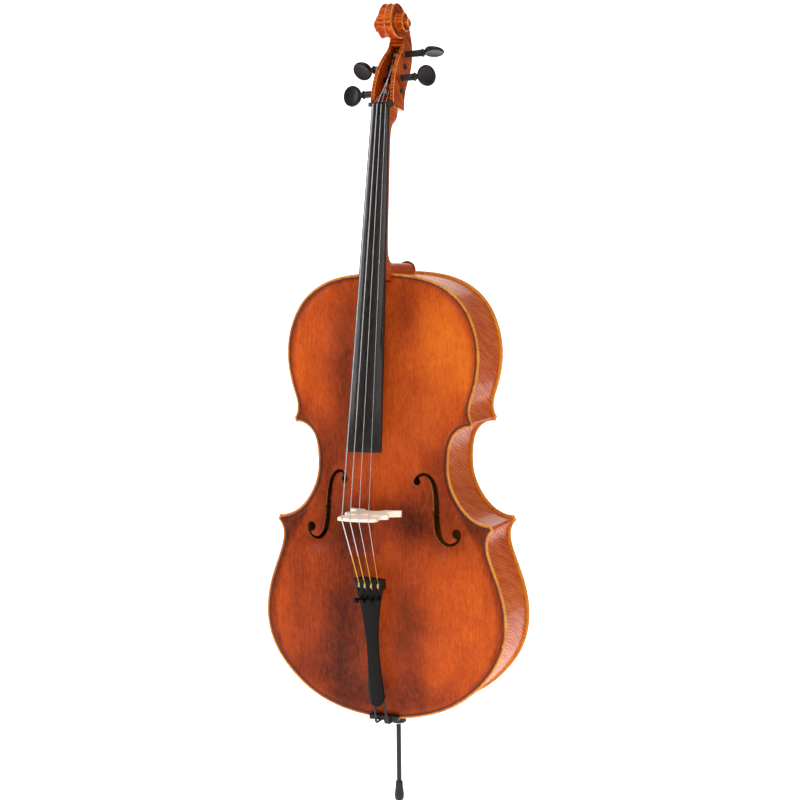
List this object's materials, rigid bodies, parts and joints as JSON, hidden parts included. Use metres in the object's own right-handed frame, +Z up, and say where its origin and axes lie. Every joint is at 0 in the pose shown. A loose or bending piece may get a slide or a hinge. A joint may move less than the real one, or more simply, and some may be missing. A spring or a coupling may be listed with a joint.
{
  "type": "cello",
  "caption": "Full-size cello with an arched hollow body, fretless neck, friction pegs, built-in fine tuners and a sliding end pin.",
  "frame": {"origin": "underside of the rubber foot, on the end pin's axis, with the end pin drawn out as in the picture", "axes": "+Z up the instrument from the end pin to the scroll, -Y out of the front (the belly), +X to the treble (A string) side"},
  "size_m": [0.439, 0.2551, 1.3635],
  "materials": {
    "spruce_varnished": "antiqued oil varnish over fine-grained spruce",
    "maple_varnished": "antiqued oil varnish over flamed maple",
    "inner_wood": "bare willow and spruce, cut and scraped",
    "purfling": "dyed wood strip inlaid flush",
    "ebony": "satin, oiled and polished",
    "bridge_maple": "bare maple, scraped",
    "composite_black": "satin moulded composite",
    "string_metal": "flat wound metal",
    "tuner_metal": "black plated, knurled",
    "tuner_steel": "plain steel",
    "gut_cord": "braided black cord",
    "rod_steel": "dark drawn steel tube",
    "ring_metal": "pale turned metal",
    "foot_rubber": "moulded"
  },
  "bodies": {
    "instrument": {"top_plate": "spruce_varnished", "back_plate": "maple_varnished", "purfling_front": "purfling", "purfling_back": "purfling", "linings_front": "inner_wood", "linings_back": "inner_wood", "top_block": "inner_wood", "end_block": "inner_wood", "corner_blocks": "inner_wood", "bass_bar": "inner_wood", "sound_post": "inner_wood", "neck": "maple_varnished", "fingerboard": "ebony", "nut": "ebony", "saddle": "ebony", "bridge": "bridge_maple", "tailpiece": "composite_black", "tuner_pivot": "tuner_steel", "tailgut": "gut_cord", "endpin_socket": "ebony", "endpin_ring": "ring_metal", "rib_lower_bass": "maple_varnished", "rib_lower_treble": "maple_varnished", "rib_waist_bass": "maple_varnished", "rib_waist_treble": "maple_varnished", "rib_upper_bass": "maple_varnished", "rib_upper_treble": "maple_varnished", "string_c": "string_metal", "string_g": "string_metal", "string_d": "string_metal", "string_a": "string_metal"},
    "peg_c_turning": {"peg_c": "ebony", "winding_c": "string_metal"},
    "peg_g_turning": {"peg_g": "ebony", "winding_g": "string_metal"},
    "peg_d_turning": {"peg_d": "ebony", "winding_d": "string_metal"},
    "peg_a_turning": {"peg_a": "ebony", "winding_a": "string_metal"},
    "tuner_screw_c_turning": {"tuner_screw_c": "tuner_metal"},
    "tuner_lever_c_rocking": {"tuner_lever_c": "tuner_steel"},
    "tuner_screw_g_turning": {"tuner_screw_g": "tuner_metal"},
    "tuner_lever_g_rocking": {"tuner_lever_g": "tuner_steel"},
    "tuner_screw_d_turning": {"tuner_screw_d": "tuner_metal"},
    "tuner_lever_d_rocking": {"tuner_lever_d": "tuner_steel"},
    "tuner_screw_a_turning": {"tuner_screw_a": "tuner_metal"},
    "tuner_lever_a_rocking": {"tuner_lever_a": "tuner_steel"},
    "endpin": {"endpin_rod": "rod_steel", "rubber_foot": "foot_rubber"},
    "endpin_thumbscrew": {"thumbscrew": "tuner_metal"}
  },
  "joints": [
    {"name": "peg_c_turn", "type": "hinge", "parent": "instrument", "child": "peg_c_turning", "pos_m": [0, -0.013, 1.2145], "axis": [-0.9978, 0, -0.0663], "continuous": true, "deforming": ["string_c"]},
    {"name": "peg_g_turn", "type": "hinge", "parent": "instrument", "child": "peg_g_turning", "pos_m": [0, 0.011, 1.2565], "axis": [-0.9978, 0, -0.0663], "continuous": true, "deforming": ["string_g"]},
    {"name": "peg_d_turn", "type": "hinge", "parent": "instrument", "child": "peg_d_turning", "pos_m": [0, 0.023, 1.2775], "axis": [0.9978, 0, 0.0663], "continuous": true, "deforming": ["string_d"]},
    {"name": "peg_a_turn", "type": "hinge", "parent": "instrument", "child": "peg_a_turning", "pos_m": [0, -0.006, 1.2365], "axis": [0.9978, 0, 0.0663], "continuous": true, "deforming": ["string_a"]},
    {"name": "tuner_c_turn", "type": "hinge", "parent": "instrument", "child": "tuner_screw_c_turning", "pos_m": [-0.0171, -0.12197, 0.37587], "axis": [-0.285, -0.9485, -0.1384], "range_deg": [-720, 720]},
    {"name": "lever_c_rock", "type": "hinge", "parent": "instrument", "child": "tuner_lever_c_rocking", "pos_m": [-0.0171, -0.11424, 0.39923], "axis": [1, 0, 0], "range_deg": [-2, 2], "deforming": ["string_c"]},
    {"name": "tuner_g_turn", "type": "hinge", "parent": "instrument", "child": "tuner_screw_g_turning", "pos_m": [-0.0057, -0.12416, 0.37555], "axis": [-0.095, -0.9851, -0.1437], "range_deg": [-720, 720]},
    {"name": "lever_g_rock", "type": "hinge", "parent": "instrument", "child": "tuner_lever_g_rocking", "pos_m": [-0.0057, -0.11424, 0.39923], "axis": [1, 0, 0], "range_deg": [-2, 2], "deforming": ["string_g"]},
    {"name": "tuner_d_turn", "type": "hinge", "parent": "instrument", "child": "tuner_screw_d_turning", "pos_m": [0.0057, -0.12416, 0.37555], "axis": [0.095, -0.9851, -0.1437], "range_deg": [-720, 720]},
    {"name": "lever_d_rock", "type": "hinge", "parent": "instrument", "child": "tuner_lever_d_rocking", "pos_m": [0.0057, -0.11424, 0.39923], "axis": [1, 0, 0], "range_deg": [-2, 2], "deforming": ["string_d"]},
    {"name": "tuner_a_turn", "type": "hinge", "parent": "instrument", "child": "tuner_screw_a_turning", "pos_m": [0.0171, -0.12197, 0.37587], "axis": [0.285, -0.9485, -0.1384], "range_deg": [-720, 720]},
    {"name": "lever_a_rock", "type": "hinge", "parent": "instrument", "child": "tuner_lever_a_rocking", "pos_m": [0.0171, -0.11424, 0.39923], "axis": [1, 0, 0], "range_deg": [-2, 2], "deforming": ["string_a"]},
    {"name": "endpin_slide", "type": "slide", "parent": "instrument", "child": "endpin", "axis": [0, 0, 1], "range_m": [-0.25, 0.095]},
    {"name": "thumbscrew_turn", "type": "hinge", "parent": "instrument", "child": "endpin_thumbscrew", "pos_m": [0, 0, 0.1437], "axis": [-0.6428, -0.766, 0], "range_deg": [-720, 0]}
  ],
  "couplings": [
    {"joint": "lever_c_rock", "follows": "tuner_c_turn", "ratio": 0.0027778},
    {"joint": "lever_g_rock", "follows": "tuner_g_turn", "ratio": 0.0027778},
    {"joint": "lever_d_rock", "follows": "tuner_d_turn", "ratio": 0.0027778},
    {"joint": "lever_a_rock", "follows": "tuner_a_turn", "ratio": 0.0027778}
  ]
}
